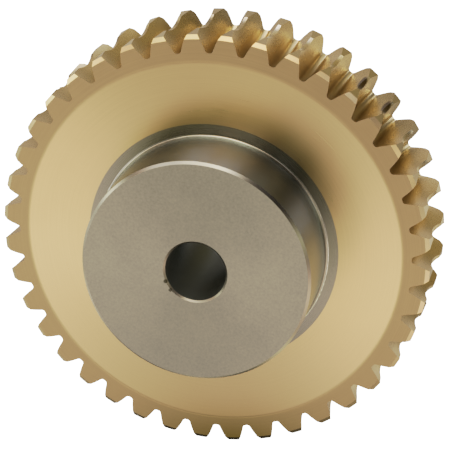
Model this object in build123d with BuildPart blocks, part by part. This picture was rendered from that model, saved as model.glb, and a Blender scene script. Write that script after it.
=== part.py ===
from build123d import *

import math
import os

os.makedirs("parts", exist_ok=True)

# ---------------------------------------------------------------------------
# Driving dimensions, in millimetres and degrees.
# The wheel lies on its flat back face, z = 0, with its axis on Z and its boss
# up. Gap 0 is centred on +X in the middle plane of the rim.
# ---------------------------------------------------------------------------
module = 2.0               # axial module of the worm
tooth_count = 40
worm_pitch_radius = 15.35  # pitch radius of the worm that the wheel runs with
worm_starts = 1
pressure_angle = 22.6      # flank angle of the worm in its axial section
hob_addendum = 2.96        # the hob reaches this far past its pitch radius
hob_tip_radius = 0.60      # rounding of the hob's tip, which rounds the gap's root
hob_extra_width = 0.48     # the gap is this much wider than half a pitch

rim_width = 17.7           # face to face
rim_face_radius = 37.5     # outer edge of the flat turned face
tooth_front_radius = 42.0  # where the shallow bevel over the tooth ends stops
bevel_drop = 0.12          # the bevel has fallen back this far there
tip_radius = 42.8          # lands at the two ends of each tooth
tip_chamfer_drop = 0.68    # the tip chamfer ends this far behind the face
throat_radius = 41.95      # the smallest tip radius, in the middle plane
throat_curve = 10.5        # radius of the concave throat

core_radius = 25.0         # joint line between the bronze ring and the steel core
boss_radius = 22.5
boss_height = 13.8         # boss face above the rim face
boss_fillet = 0.6          # at the foot of the boss
boss_chamfer = 0.5         # on the edge of the boss face
bore_radius = 6.0
bore_chamfer = 0.35

# ---------------------------------------------------------------------------
# Derived dimensions
# ---------------------------------------------------------------------------
pitch_radius = module * tooth_count / 2
centre_distance = pitch_radius + worm_pitch_radius
lead = math.pi * module * worm_starts
hob_radius = worm_pitch_radius + hob_addendum
mid = rim_width / 2
pitch_angle = 360.0 / tooth_count
tan_a = math.tan(math.radians(pressure_angle))
sin_a = math.sin(math.radians(pressure_angle))


def hob_half_width(r):
    """Half the hob's thickness at the distance r from the hob's own axis."""
    w = (math.pi * module / 2 + hob_extra_width) / 2 - (r - worm_pitch_radius) * tan_a
    # the rounded tip: a circular arc that the flank runs into
    centre = hob_radius - hob_tip_radius
    if r > centre + hob_tip_radius * sin_a:
        at = centre + hob_tip_radius * sin_a
        w_at = (math.pi * module / 2 + hob_extra_width) / 2 - (at - worm_pitch_radius) * tan_a
        base = w_at - hob_tip_radius * math.cos(math.radians(pressure_angle))
        w = base + math.sqrt(max(hob_tip_radius ** 2 - (r - centre) ** 2, 0.0))
    return w


def gap_outline(c, outer):
    """One tooth gap in the plane at the distance c in front of the middle plane.

    The hob's thread cuts that plane as a rack. The rack rolls on the pitch circle
    of the wheel, and the gap is what it sweeps. Returns the points of the gap's
    wall, from the outer end of one flank down to the root and up the other.
    """
    reach = math.sqrt(hob_radius ** 2 - c * c)
    n = 150
    rack = {1: [], -1: []}
    for i in range(n + 1):
        y = 1.0 + (reach - 1.0) * (1 - (1 - i / n) ** 2)
        r = math.hypot(y, c)
        turn = math.atan2(c, y)
        x0 = -lead * turn / (2 * math.pi)
        w = hob_half_width(r)
        rack[1].append((x0 + w, y))
        rack[-1].append((x0 - w, y))
    root = centre_distance - reach
    fractions = [1.0, 0.80, 0.62, 0.46, 0.33, 0.22, 0.14, 0.08, 0.04, 0.012]
    radii = [root + (outer - root) * f for f in fractions]
    walls = {1: [None] * len(radii), -1: [None] * len(radii)}
    for side in (1, -1):
        for step in range(-130, 131):
            s = step * 0.05
            curve = []
            for x, y in rack[side]:
                px, py = x + s, centre_distance - y
                curve.append((math.hypot(px, py), math.atan2(px, py) - s / pitch_radius))
            for k, target in enumerate(radii):
                for (ra, ta), (rb, tb) in zip(curve, curve[1:]):
                    if (ra - target) * (rb - target) <= 0 and ra != rb:
                        t = ta + (tb - ta) * (target - ra) / (rb - ra)
                        best = walls[side][k]
                        if best is None or t * side > best * side:
                            walls[side][k] = t
    # the angle is measured clockwise from the gap's centre line at the middle plane
    pts = []
    for k, target in enumerate(radii):
        a = -walls[-1][k]
        pts.append((target * math.cos(a), target * math.sin(a)))
    a0 = -(walls[1][-1] + walls[-1][-1]) / 2
    pts.append((root * math.cos(a0), root * math.sin(a0)))
    for k in range(len(radii) - 1, -1, -1):
        a = -walls[1][k]
        pts.append((radii[k] * math.cos(a), radii[k] * math.sin(a)))
    return pts


# ---------------------------------------------------------------------------
# The swept shape of one gap, as wide as the rim and a little more
# ---------------------------------------------------------------------------
sections = 7
reach_out = mid + 0.6
with BuildPart() as gap:
    for i in range(sections):
        c = -reach_out + 2 * reach_out * i / (sections - 1)
        points = gap_outline(c, tip_radius + 2.0)
        with BuildSketch(Plane.XY.offset(mid + c)):
            with BuildLine():
                Spline(*points)
                Line(points[-1], points[0])
            make_face()
    loft()

# ---------------------------------------------------------------------------
# Toothed rim: a turned ring, bevelled over the tooth ends, with a concave throat
# ---------------------------------------------------------------------------
throat_centre = throat_radius + throat_curve
half_throat = math.sqrt(throat_curve ** 2 - (throat_centre - tip_radius) ** 2)
with BuildPart() as toothed_rim:
    with BuildSketch(Plane.XZ):
        with BuildLine():
            Polyline(
                (tip_radius, mid - half_throat),
                (tip_radius, tip_chamfer_drop),
                (tooth_front_radius, bevel_drop),
                (rim_face_radius, 0),
                (core_radius, 0),
                (core_radius, rim_width),
                (rim_face_radius, rim_width),
                (tooth_front_radius, rim_width - bevel_drop),
                (tip_radius, rim_width - tip_chamfer_drop),
                (tip_radius, mid + half_throat),
            )
            ThreePointArc(
                (tip_radius, mid + half_throat),
                (throat_radius, mid),
                (tip_radius, mid - half_throat),
            )
        make_face()
    revolve(axis=Axis.Z)
    with PolarLocations(0, tooth_count):
        add(gap.part, mode=Mode.SUBTRACT)
toothed_rim.part.label = "toothed_rim"
export_step(toothed_rim.part, "parts/toothed_rim.step")

# ---------------------------------------------------------------------------
# Hub: the core inside the ring, the boss in front of it and the bore through both
# ---------------------------------------------------------------------------
with BuildPart() as hub:
    with BuildSketch(Plane.XY):
        Circle(core_radius)
    extrude(amount=rim_width)
    with BuildSketch(Plane.XY.offset(rim_width)):
        Circle(boss_radius)
    extrude(amount=boss_height)
    foot = hub.edges().filter_by(GeomType.CIRCLE).filter_by(
        lambda e: abs(e.radius - boss_radius) < 1e-6
    ).sort_by(Axis.Z)[0]
    fillet(foot, radius=boss_fillet)
    rim_edge = hub.faces().sort_by(Axis.Z)[-1].edges()
    chamfer(rim_edge, length=boss_chamfer)
    with Locations((0, 0, rim_width + boss_height)):
        Hole(radius=bore_radius)
    bore_edges = hub.edges().filter_by(GeomType.CIRCLE).filter_by(
        lambda e: abs(e.radius - bore_radius) < 1e-6
    )
    chamfer(bore_edges, length=bore_chamfer)
hub.part.label = "hub"
export_step(hub.part, "parts/hub.step")
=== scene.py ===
import math

import bpy
from mathutils import Matrix, Vector

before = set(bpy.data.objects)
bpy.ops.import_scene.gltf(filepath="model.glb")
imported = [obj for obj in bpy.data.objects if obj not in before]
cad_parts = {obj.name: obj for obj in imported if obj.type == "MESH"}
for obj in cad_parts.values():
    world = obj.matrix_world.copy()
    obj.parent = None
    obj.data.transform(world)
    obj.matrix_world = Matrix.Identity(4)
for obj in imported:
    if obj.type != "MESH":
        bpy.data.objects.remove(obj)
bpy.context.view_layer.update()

# ---------------------------------------------------------------------------
# Sizes, in millimetres, as in the CAD
# ---------------------------------------------------------------------------
RIM_WIDTH = 17.7
TOTAL = 31.5
MM = 0.001


# ---------------------------------------------------------------------------
# Node helpers
# ---------------------------------------------------------------------------
class Tree:
    def __init__(self, name, world=False):
        self.mat = (bpy.data.worlds if world else bpy.data.materials).new(name)
        self.mat.use_nodes = True
        self.nt = self.mat.node_tree
        self.nt.nodes.clear()

    def node(self, kind, **props):
        n = self.nt.nodes.new(kind)
        for k, v in props.items():
            setattr(n, k, v)
        return n

    def put(self, sock, value):
        if isinstance(value, bpy.types.NodeSocket):
            self.nt.links.new(value, sock)
        else:
            sock.default_value = value

    def math(self, op, a, b=0.0, clamp=False):
        n = self.node("ShaderNodeMath", operation=op, use_clamp=clamp)
        self.put(n.inputs[0], a)
        self.put(n.inputs[1], b)
        return n.outputs[0]

    def vmath(self, op, a, b=None):
        n = self.node("ShaderNodeVectorMath", operation=op)
        self.put(n.inputs[0], a)
        if b is not None:
            self.put(n.inputs[1], b)
        return n.outputs["Value"] if op in ("LENGTH", "DOT_PRODUCT") else n.outputs["Vector"]

    def xyz(self, x, y, z):
        n = self.node("ShaderNodeCombineXYZ")
        for i, v in enumerate((x, y, z)):
            self.put(n.inputs[i], v)
        return n.outputs[0]

    def noise(self, vec, scale, detail=2.0, rough=0.5):
        n = self.node("ShaderNodeTexNoise")
        self.put(n.inputs["Vector"], vec)
        n.inputs["Scale"].default_value = scale
        n.inputs["Detail"].default_value = detail
        n.inputs["Roughness"].default_value = rough
        return n.outputs["Fac"]

    def ramp(self, value, lo, hi, to_lo=0.0, to_hi=1.0, smooth=True):
        n = self.node("ShaderNodeMapRange")
        n.interpolation_type = "SMOOTHSTEP" if smooth else "LINEAR"
        self.put(n.inputs["Value"], value)
        n.inputs["From Min"].default_value = lo
        n.inputs["From Max"].default_value = hi
        n.inputs["To Min"].default_value = to_lo
        n.inputs["To Max"].default_value = to_hi
        return n.outputs["Result"]

    def mix(self, fac, a, b):
        n = self.node("ShaderNodeMix", data_type="RGBA")
        self.put(n.inputs[0], fac)
        self.put(n.inputs[6], a)
        self.put(n.inputs[7], b)
        return n.outputs[2]


def turned_frame(t):
    """The object's own coordinates in mm: radius, angle, height, and the direction across the turning grooves."""
    geo = t.node("ShaderNodeNewGeometry")
    tex = t.node("ShaderNodeTexCoord")
    pos = t.vmath("MULTIPLY", tex.outputs["Object"], (1000.0, 1000.0, 1000.0))
    sep = t.node("ShaderNodeSeparateXYZ")
    t.put(sep.inputs[0], pos)
    x, y, z = sep.outputs
    r = t.math("SQRT", t.math("ADD", t.math("MULTIPLY", x, x), t.math("MULTIPLY", y, y)))
    ang = t.math("ARCTAN2", y, x)
    groove = t.vmath("NORMALIZE", t.xyz(t.math("MULTIPLY", y, -1.0), x, 0.0))
    across = t.vmath("NORMALIZE", t.vmath("CROSS_PRODUCT", geo.outputs["Normal"], groove))
    return pos, r, z, ang, across


def metal(name, color, rough, aniso=0.0, rings=0.0, mottle=0.0, rough_var=0.0, cloud=0.06, fine=3.0,
          outer=None, painted_shade=None, nicks_and_painted_reflections=()):
    """A bare metal finish. rings is the depth of the turning rings in microns, mottle the depth of a fine
    irregular grain, rough_var how far the roughness wanders, cloud how far the colour does. outer is
    (radius, width, colour, roughness) of another finish that takes over outside a radius in mm. painted_shade is
    (angle, radius, length round the rim, breadth, tint) of a place darkened with painted shade, and
    nicks_and_painted_reflections are (x, y, z, width, height, tint) of small dark marks: real nicks, and painted dark
    reflections."""
    t = Tree(name)
    pos, r, z, ang, across = turned_frame(t)
    out = t.node("ShaderNodeOutputMaterial")
    p = t.node("ShaderNodeBsdfPrincipled")
    t.put(out.inputs["Surface"], p.outputs[0])
    p.inputs["Metallic"].default_value = 1.0
    p.inputs["Anisotropic"].default_value = aniso
    if aniso:
        t.put(p.inputs["Tangent"], across)
    # the turning rings run round the axis: fine across them, very long along them
    step = t.math("MULTIPLY", t.math("ADD", r, z), 6.0)
    ring_at = t.xyz(step, t.math("MULTIPLY", t.math("COSINE", ang), 1.1), t.math("MULTIPLY", t.math("SINE", ang), 1.1))
    ring = t.noise(ring_at, 1.0, 3.0, 0.6)
    grain = t.noise(pos, fine, 4.0, 0.65)
    patch = t.noise(pos, 0.12, 3.0, 0.55)
    tone = t.math("ADD", t.math("MULTIPLY", patch, 0.35), t.math("MULTIPLY", grain if mottle else ring, 0.65))
    tone = t.ramp(tone, 0.3, 0.7, smooth=False)
    base, rough_at = color, rough
    if outer:
        edge, width, color2, rough2 = outer
        outside = t.ramp(r, edge - width / 2, edge + width / 2)
        base = t.mix(outside, color + (1,), color2 + (1,))
        rough_at = t.math("ADD", t.math("MULTIPLY", outside, rough2 - rough), rough)
    # painted shade: the colour is pulled towards a dark olive over one place of the rim, strongest at the tooth tips
    if painted_shade:
        at, middle, along, wide, tint = painted_shade
        da = t.math("MULTIPLY", t.math("SUBTRACT", ang, math.radians(at)), 40.0 / along)
        dr = t.math("DIVIDE", t.math("SUBTRACT", r, middle), wide)
        painted_shade_mask = t.math("EXPONENT", t.math("MULTIPLY", t.math("ADD", t.math("MULTIPLY", da, da), t.math("MULTIPLY", dr, dr)), -1.0))
        base = t.vmath("MULTIPLY", base, t.mix(painted_shade_mask, (1, 1, 1, 1), tint + (1,)))
    # small dark marks: painted dark reflections in the throats of two teeth, and real nicks on the bore's edge
    for sx, sy, sz, wide, high, tint in nicks_and_painted_reflections:
        d = t.vmath("LENGTH", t.vmath("DIVIDE", t.vmath("SUBTRACT", pos, (sx, sy, sz)), (wide, wide, high)))
        d = t.math("ADD", d, t.math("MULTIPLY", t.math("SUBTRACT", grain, 0.5), 0.5))
        base = t.vmath("MULTIPLY", base, t.mix(t.ramp(d, 0.7, 1.2, 1.0, 0.0), (1, 1, 1, 1), tint + (1,)))
    shade = t.math("ADD", t.math("MULTIPLY", tone, 2 * cloud), 1 - cloud)
    t.put(p.inputs["Base Color"], t.vmath("MULTIPLY", base, t.xyz(shade, shade, shade)))
    t.put(p.inputs["Roughness"], t.math("ADD", rough_at, t.ramp(tone, 0.0, 1.0, -rough_var, rough_var, smooth=False)))
    height = None
    if rings:
        height = t.math("MULTIPLY", ring, rings)
    if mottle:
        m = t.math("MULTIPLY", grain, mottle)
        height = m if height is None else t.math("ADD", height, m)
    if height is not None:
        bump = t.node("ShaderNodeBump")
        bump.inputs["Strength"].default_value = 1.0
        bump.inputs["Distance"].default_value = 1e-6
        t.put(bump.inputs["Height"], height)
        t.put(p.inputs["Normal"], bump.outputs[0])
    return t.mat


# painted shade over one place of the rim, strongest at the tooth tips; painted dark reflections in the throats of two
# neighbouring teeth; and two tiny nicks on the bore's front edge
PAINTED_RIM_SHADE = (121.3, 46.4, 16.4, 10.0, (0.27, 0.27, 0.02))
PAINTED_THROAT_REFLECTIONS = [(-9.6, -41.0, 7.8, 0.85, 3.3, (0.16, 0.12, 0.07)), (-15.85, -39.0, 7.4, 0.85, 3.1, (0.18, 0.14, 0.08))]
NICKS = [(4.1, 4.9, 31.4, 0.42, 0.8, (0.25, 0.24, 0.20)), (2.5, 6.0, 31.4, 0.36, 0.8, (0.30, 0.29, 0.25))]

# one bronze and one steel; each finish of them has its own tone, set together with the lights, so the tones are partly
# painted light and shade: lighter copies of the metal where highlights fall, darker ones where shade falls
FINISH = {
    # the turned face, and the duller band over the tooth ends; they run into each other at the edge between them; both
    # carry the painted shade at the rim
    "bronze_face": metal("bronze_face", (0.742, 0.540, 0.291), 0.29, aniso=0.9, rings=0.4, rough_var=0.02, cloud=0.055,
                         outer=(37.3, 0.4, (0.645, 0.473, 0.263), 0.38), painted_shade=PAINTED_RIM_SHADE),
    "bronze_band": metal("bronze_band", (0.645, 0.473, 0.263), 0.46, aniso=0.3, rings=0.6, rough_var=0.03, cloud=0.10,
                         outer=(37.7, 0.4, (0.548, 0.406, 0.235), 0.50), painted_shade=PAINTED_RIM_SHADE),
    "bronze_bevel": metal("bronze_bevel", (0.970, 0.808, 0.532), 0.22, rings=0.4, rough_var=0.03, cloud=0.04),
    # the throats and the flanks carry the painted dark reflections of two teeth
    "bronze_throat": metal("bronze_throat", (0.950, 0.805, 0.510), 0.20, aniso=0.4, rings=0.3, rough_var=0.03, cloud=0.04,
                           nicks_and_painted_reflections=PAINTED_THROAT_REFLECTIONS),
    # painted shade: the flanks are darker towards the bottoms of the gaps
    "bronze_flank": metal("bronze_flank", (0.460, 0.334, 0.142), 0.33, mottle=0.3, rough_var=0.03, cloud=0.05,
                          outer=(38.8, 2.6, (0.830, 0.652, 0.336), 0.28), nicks_and_painted_reflections=PAINTED_THROAT_REFLECTIONS),
    "steel_face": metal("steel_face", (0.350, 0.332, 0.276), 0.40, aniso=0.3, mottle=3.6, rough_var=0.07, cloud=0.26, fine=2.2,
                        nicks_and_painted_reflections=NICKS),
    "steel_core": metal("steel_core", (0.303, 0.283, 0.231), 0.28, aniso=0.95, rings=0.6, rough_var=0.02, cloud=0.05),
    "steel_wall": metal("steel_wall", (0.460, 0.535, 0.535), 0.23, aniso=0.95, rings=0.5, rough_var=0.02, cloud=0.05),
    "steel_bore": metal("steel_bore", (0.230, 0.259, 0.248), 0.45, aniso=0.5, rings=0.6, rough_var=0.03, cloud=0.06),
    # the boss's edge chamfer and the fillet at its foot, and the chamfer of the bore: painted highlight, their colours
    # set lighter than the rest of the steel so that they show as bright lines
    "steel_edge": metal("steel_edge", (0.720, 0.695, 0.615), 0.18, rings=0.3, rough_var=0.03, cloud=0.05),
    "steel_fillet": metal("steel_fillet", (0.590, 0.600, 0.550), 0.22, rings=0.3, rough_var=0.03, cloud=0.05),
    "steel_lip": metal("steel_lip", (0.500, 0.485, 0.420), 0.30, rings=0.3, rough_var=0.03, cloud=0.05, nicks_and_painted_reflections=NICKS),
}


def zones(node, names, pick):
    """Gives each face of a CAD node the finish of the surface it lies on."""
    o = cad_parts[node]
    o.data.materials.clear()
    for n in names:
        o.data.materials.append(FINISH[n])
    for poly in o.data.polygons:
        c, n = poly.center / MM, poly.normal
        rad = math.hypot(c.x, c.y)
        out = (c.x * n.x + c.y * n.y) / max(rad, 1e-6)
        poly.material_index = names.index(pick(rad, c.z, out, n.z))


def rim_zone(rad, z, out, nz):
    if abs(nz) > 0.9999:
        return "bronze_face"
    if abs(nz) > 0.95:
        return "bronze_band"
    swept = math.hypot(out, nz)
    if swept > 0.99995 and out > 0:
        if rad > 41.9 and out > 0.9:
            return "bronze_throat"
        if rad > 41.9:
            return "bronze_bevel"
    return "bronze_flank"


def hub_zone(rad, z, out, nz):
    if nz > 0.99 and z > TOTAL - 0.1:
        return "steel_face"
    if rad < 6.6:
        return "steel_lip" if abs(nz) > 0.3 else "steel_bore"
    if abs(nz) > 0.99:
        return "steel_core"
    if abs(nz) > 0.02:
        return "steel_edge" if z > TOTAL - 2.0 else "steel_fillet"
    return "steel_wall" if rad < 24.0 else "steel_core"


zones("toothed_rim", ["bronze_face", "bronze_band", "bronze_bevel", "bronze_throat", "bronze_flank"], rim_zone)
zones("hub", ["steel_face", "steel_core", "steel_wall", "steel_bore", "steel_edge", "steel_lip", "steel_fillet"], hub_zone)

# ---------------------------------------------------------------------------
# Floor: plain white paper, lit up to pure white. Only the camera sees it, so the
# wheel mirrors the soft boxes all round it, as if it hung in the light tent. It
# has only an upper side, so that the wheel's back can be looked at from below.
# ---------------------------------------------------------------------------
PAPER = 5.0
mesh = bpy.data.meshes.new("floor")
R = 2.5
DROP = -0.0002      # just under the wheel, so that the two don't share a plane
mesh.from_pydata([(-R, -R, DROP), (R, -R, DROP), (R, R, DROP), (-R, R, DROP)], [], [(0, 1, 2, 3)])
floor = bpy.data.objects.new("floor", mesh)
bpy.context.scene.collection.objects.link(floor)
t = Tree("floor_paper")
out = t.node("ShaderNodeOutputMaterial")
p = t.node("ShaderNodeBsdfPrincipled")
under = t.node("ShaderNodeMixShader")
t.put(under.inputs[0], t.node("ShaderNodeNewGeometry").outputs["Backfacing"])
t.put(under.inputs[1], p.outputs[0])
t.put(under.inputs[2], t.node("ShaderNodeBsdfTransparent").outputs[0])
t.put(out.inputs["Surface"], under.outputs[0])
p.inputs["Base Color"].default_value = (0.8, 0.8, 0.8, 1)
p.inputs["Roughness"].default_value = 0.9
p.inputs["Specular IOR Level"].default_value = 0.0
p.inputs["Emission Color"].default_value = (1, 1, 1, 1)
p.inputs["Emission Strength"].default_value = PAPER
floor.data.materials.append(t.mat)
floor.visible_diffuse = False
floor.visible_glossy = False
floor.visible_transmission = False
floor.visible_shadow = False

# ---------------------------------------------------------------------------
# Camera: looks down on the wheel, turned about its own line of sight
# ---------------------------------------------------------------------------
TILT = math.radians(26.5575)        # between the line of sight and the wheel's axis
ROLL = math.radians(147.614)
TURN = math.radians(-2.8189)        # puts a tooth gap where the picture has it
DISTANCE = 512.859                  # mm, along the line of sight to the rim's front face
SCALE = 5.12826                     # pixels per mm there
CENTRE_U, CENTRE_V = 212.2213, 243.9730
HALF = 224.5

view = Vector((0.0, math.sin(TILT), -math.cos(TILT)))
right0 = Vector((1.0, 0.0, 0.0))
down0 = view.cross(right0)
right = math.cos(ROLL) * right0 + math.sin(ROLL) * down0
down = -math.sin(ROLL) * right0 + math.cos(ROLL) * down0
tx = (CENTRE_U - HALF) / SCALE
ty = (CENTRE_V - HALF) / SCALE
place = -tx * right - ty * down - DISTANCE * view
turn = Matrix.Rotation(TURN, 3, "Z")
place = (turn @ place + Vector((0, 0, RIM_WIDTH))) * MM
axes = Matrix((turn @ right, turn @ -down, turn @ -view)).transposed()
cam_data = bpy.data.cameras.new("camera")
cam = bpy.data.objects.new("camera", cam_data)
bpy.context.scene.collection.objects.link(cam)
cam.matrix_world = Matrix.Translation(place) @ axes.to_4x4()
cam_data.sensor_fit = "AUTO"
cam_data.sensor_width = 36.0
cam_data.lens = 36.0 * SCALE * DISTANCE / 450.0
cam_data.clip_start = 0.01
cam_data.clip_end = 50.0
bpy.context.scene.camera = cam

# ---------------------------------------------------------------------------
# Light: soft boxes round the wheel, as soft-edged lobes of the surrounding dome
# ---------------------------------------------------------------------------
# direction in degrees, elevation, tightness, colour and strength
BOXES = [
    (-137.2, -10.8, 68.7, (4.761, 4.967, 5.822)),
    (-48.2, -18.1, 62.7, (5.081, 4.679, 5.423)),
    (-70.1, -27.0, 60.2, (2.812, 2.933, 3.944)),
    (-70.5, 2.7, 68.1, (2.763, 2.910, 2.291)),
    (73.8, 49.2, 65.8, (2.727, 2.493, 2.348)),
    (-50.6, 3.5, 67.6, (2.581, 2.444, 1.985)),
    (111.1, -39.7, 54.7, (2.686, 2.382, 1.657)),
    (135.0, 55.4, 62.3, (2.288, 2.051, 1.388)),
    (36.3, 47.0, 62.7, (2.027, 1.822, 1.785)),
    (-56.3, 40.3, 66.4, (2.701, 1.811, 1.109)),
    (9.6, 25.9, 52.3, (2.242, 1.954, 1.408)),
    (59.5, 34.3, 61.1, (1.802, 1.953, 1.389)),
    (169.1, 60.2, 61.4, (1.847, 1.529, 1.310)),
    (-31.9, 37.0, 68.2, (2.064, 1.601, 1.000)),
    (102.0, 59.3, 66.6, (1.440, 1.245, 1.510)),
    (13.2, 6.8, 61.5, (1.520, 1.480, 1.183)),
    (-78.0, 40.8, 77.6, (1.883, 1.312, 0.871)),
    (-94.8, -22.7, 54.5, (1.372, 1.295, 1.153)),
    (168.3, 20.3, 14.1, (1.252, 0.964, 0.735)),
    (-140.1, 38.1, 76.6, (1.267, 0.963, 0.672)),
    (-105.9, 41.7, 107.2, (1.018, 0.875, 0.776)),
    (-20.9, -30.3, 60.5, (0.918, 0.825, 0.714)),
    (-8.5, 25.1, 62.3, (1.137, 0.710, 0.487)),
    (38.8, 0.3, 23.1, (0.840, 0.779, 0.639)),
    (68.4, -17.5, 29.1, (0.883, 0.771, 0.597)),
    (173.2, -44.0, 13.7, (0.727, 0.628, 0.495)),
    (139.7, -10.6, 35.8, (0.769, 0.647, 0.408)),
    (-146.8, 11.8, 64.6, (0.686, 0.658, 0.421)),
    (-169.8, 38.8, 61.8, (0.673, 0.605, 0.479)),
    (150.7, -70.9, 58.0, (0.671, 0.597, 0.488)),
    (20.4, -61.1, 9.9, (0.549, 0.475, 0.406)),
    (43.6, -89.0, 60.4, (0.498, 0.462, 0.434)),
    (63.8, 63.9, 62.7, (0.562, 0.521, 0.159)),
    (-62.2, -55.6, 61.1, (0.433, 0.383, 0.354)),
    (108.4, 74.1, 62.5, (0.338, 0.329, 0.109)),
    (-101.1, -53.9, 11.4, (0.286, 0.223, 0.093)),
    (-68.0, 23.0, 45.0, (1.700, 1.600, 1.390)),
    (-46.0, 21.0, 45.0, (1.000, 0.940, 0.820)),
    (90.0, 30.0, 25.0, (0.145, 0.145, 0.110)),
    (-24.0, 16.0, 45.0, (0.900, 0.850, 0.740)),
    (0.0, 85.0, 25.0, (0.067, 0.077, 0.043)),
]
w = Tree("studio", world=True)
out = w.node("ShaderNodeOutputWorld")
ray = w.node("ShaderNodeTexCoord").outputs["Generated"]
total = (0.0, 0.0, 0.0)
for az, el, tight, colour in BOXES:
    a, e = math.radians(az), math.radians(el)
    centre = (math.cos(e) * math.cos(a), math.cos(e) * math.sin(a), math.sin(e))
    lobe = w.math("EXPONENT", w.math("MULTIPLY", w.math("SUBTRACT", w.vmath("DOT_PRODUCT", ray, centre), 1.0), tight))
    total = w.vmath("ADD", w.vmath("MULTIPLY", w.xyz(lobe, lobe, lobe), colour), total)
box = w.node("ShaderNodeBackground")
w.put(box.inputs["Color"], total)
box.inputs["Strength"].default_value = 1.0
plain = w.node("ShaderNodeBackground")
plain.inputs["Color"].default_value = (1, 1, 1, 1)
plain.inputs["Strength"].default_value = PAPER
mix = w.node("ShaderNodeMixShader")
w.put(mix.inputs[0], w.node("ShaderNodeLightPath").outputs["Is Camera Ray"])
w.put(mix.inputs[1], box.outputs[0])
w.put(mix.inputs[2], plain.outputs[0])
w.put(out.inputs["Surface"], mix.outputs[0])
bpy.context.scene.world = w.mat

# ---------------------------------------------------------------------------
# The picture's tones: straight in the dark half, a soft shoulder up to white
# ---------------------------------------------------------------------------
vs = bpy.context.scene.view_settings
vs.view_transform = "Standard"
vs.look = "None"
vs.use_curve_mapping = True
curve = vs.curve_mapping
WHITE = 4.0
curve.white_level = (WHITE, WHITE, WHITE)
tone = curve.curves[3]
while len(tone.points) > 2:
    tone.points.remove(tone.points[1])
tone.points[0].location = (0, 0)
tone.points[1].location = (1, 1)
for x, y in ((0.1, 0.0935), (0.28, 0.272), (0.4225, 0.40), (0.65, 0.522), (1.0, 0.654), (1.6, 0.772), (2.5, 0.88)):
    tone.points.new(x / WHITE, y)
for point in tone.points:
    point.handle_type = "AUTO_CLAMPED"
curve.update()
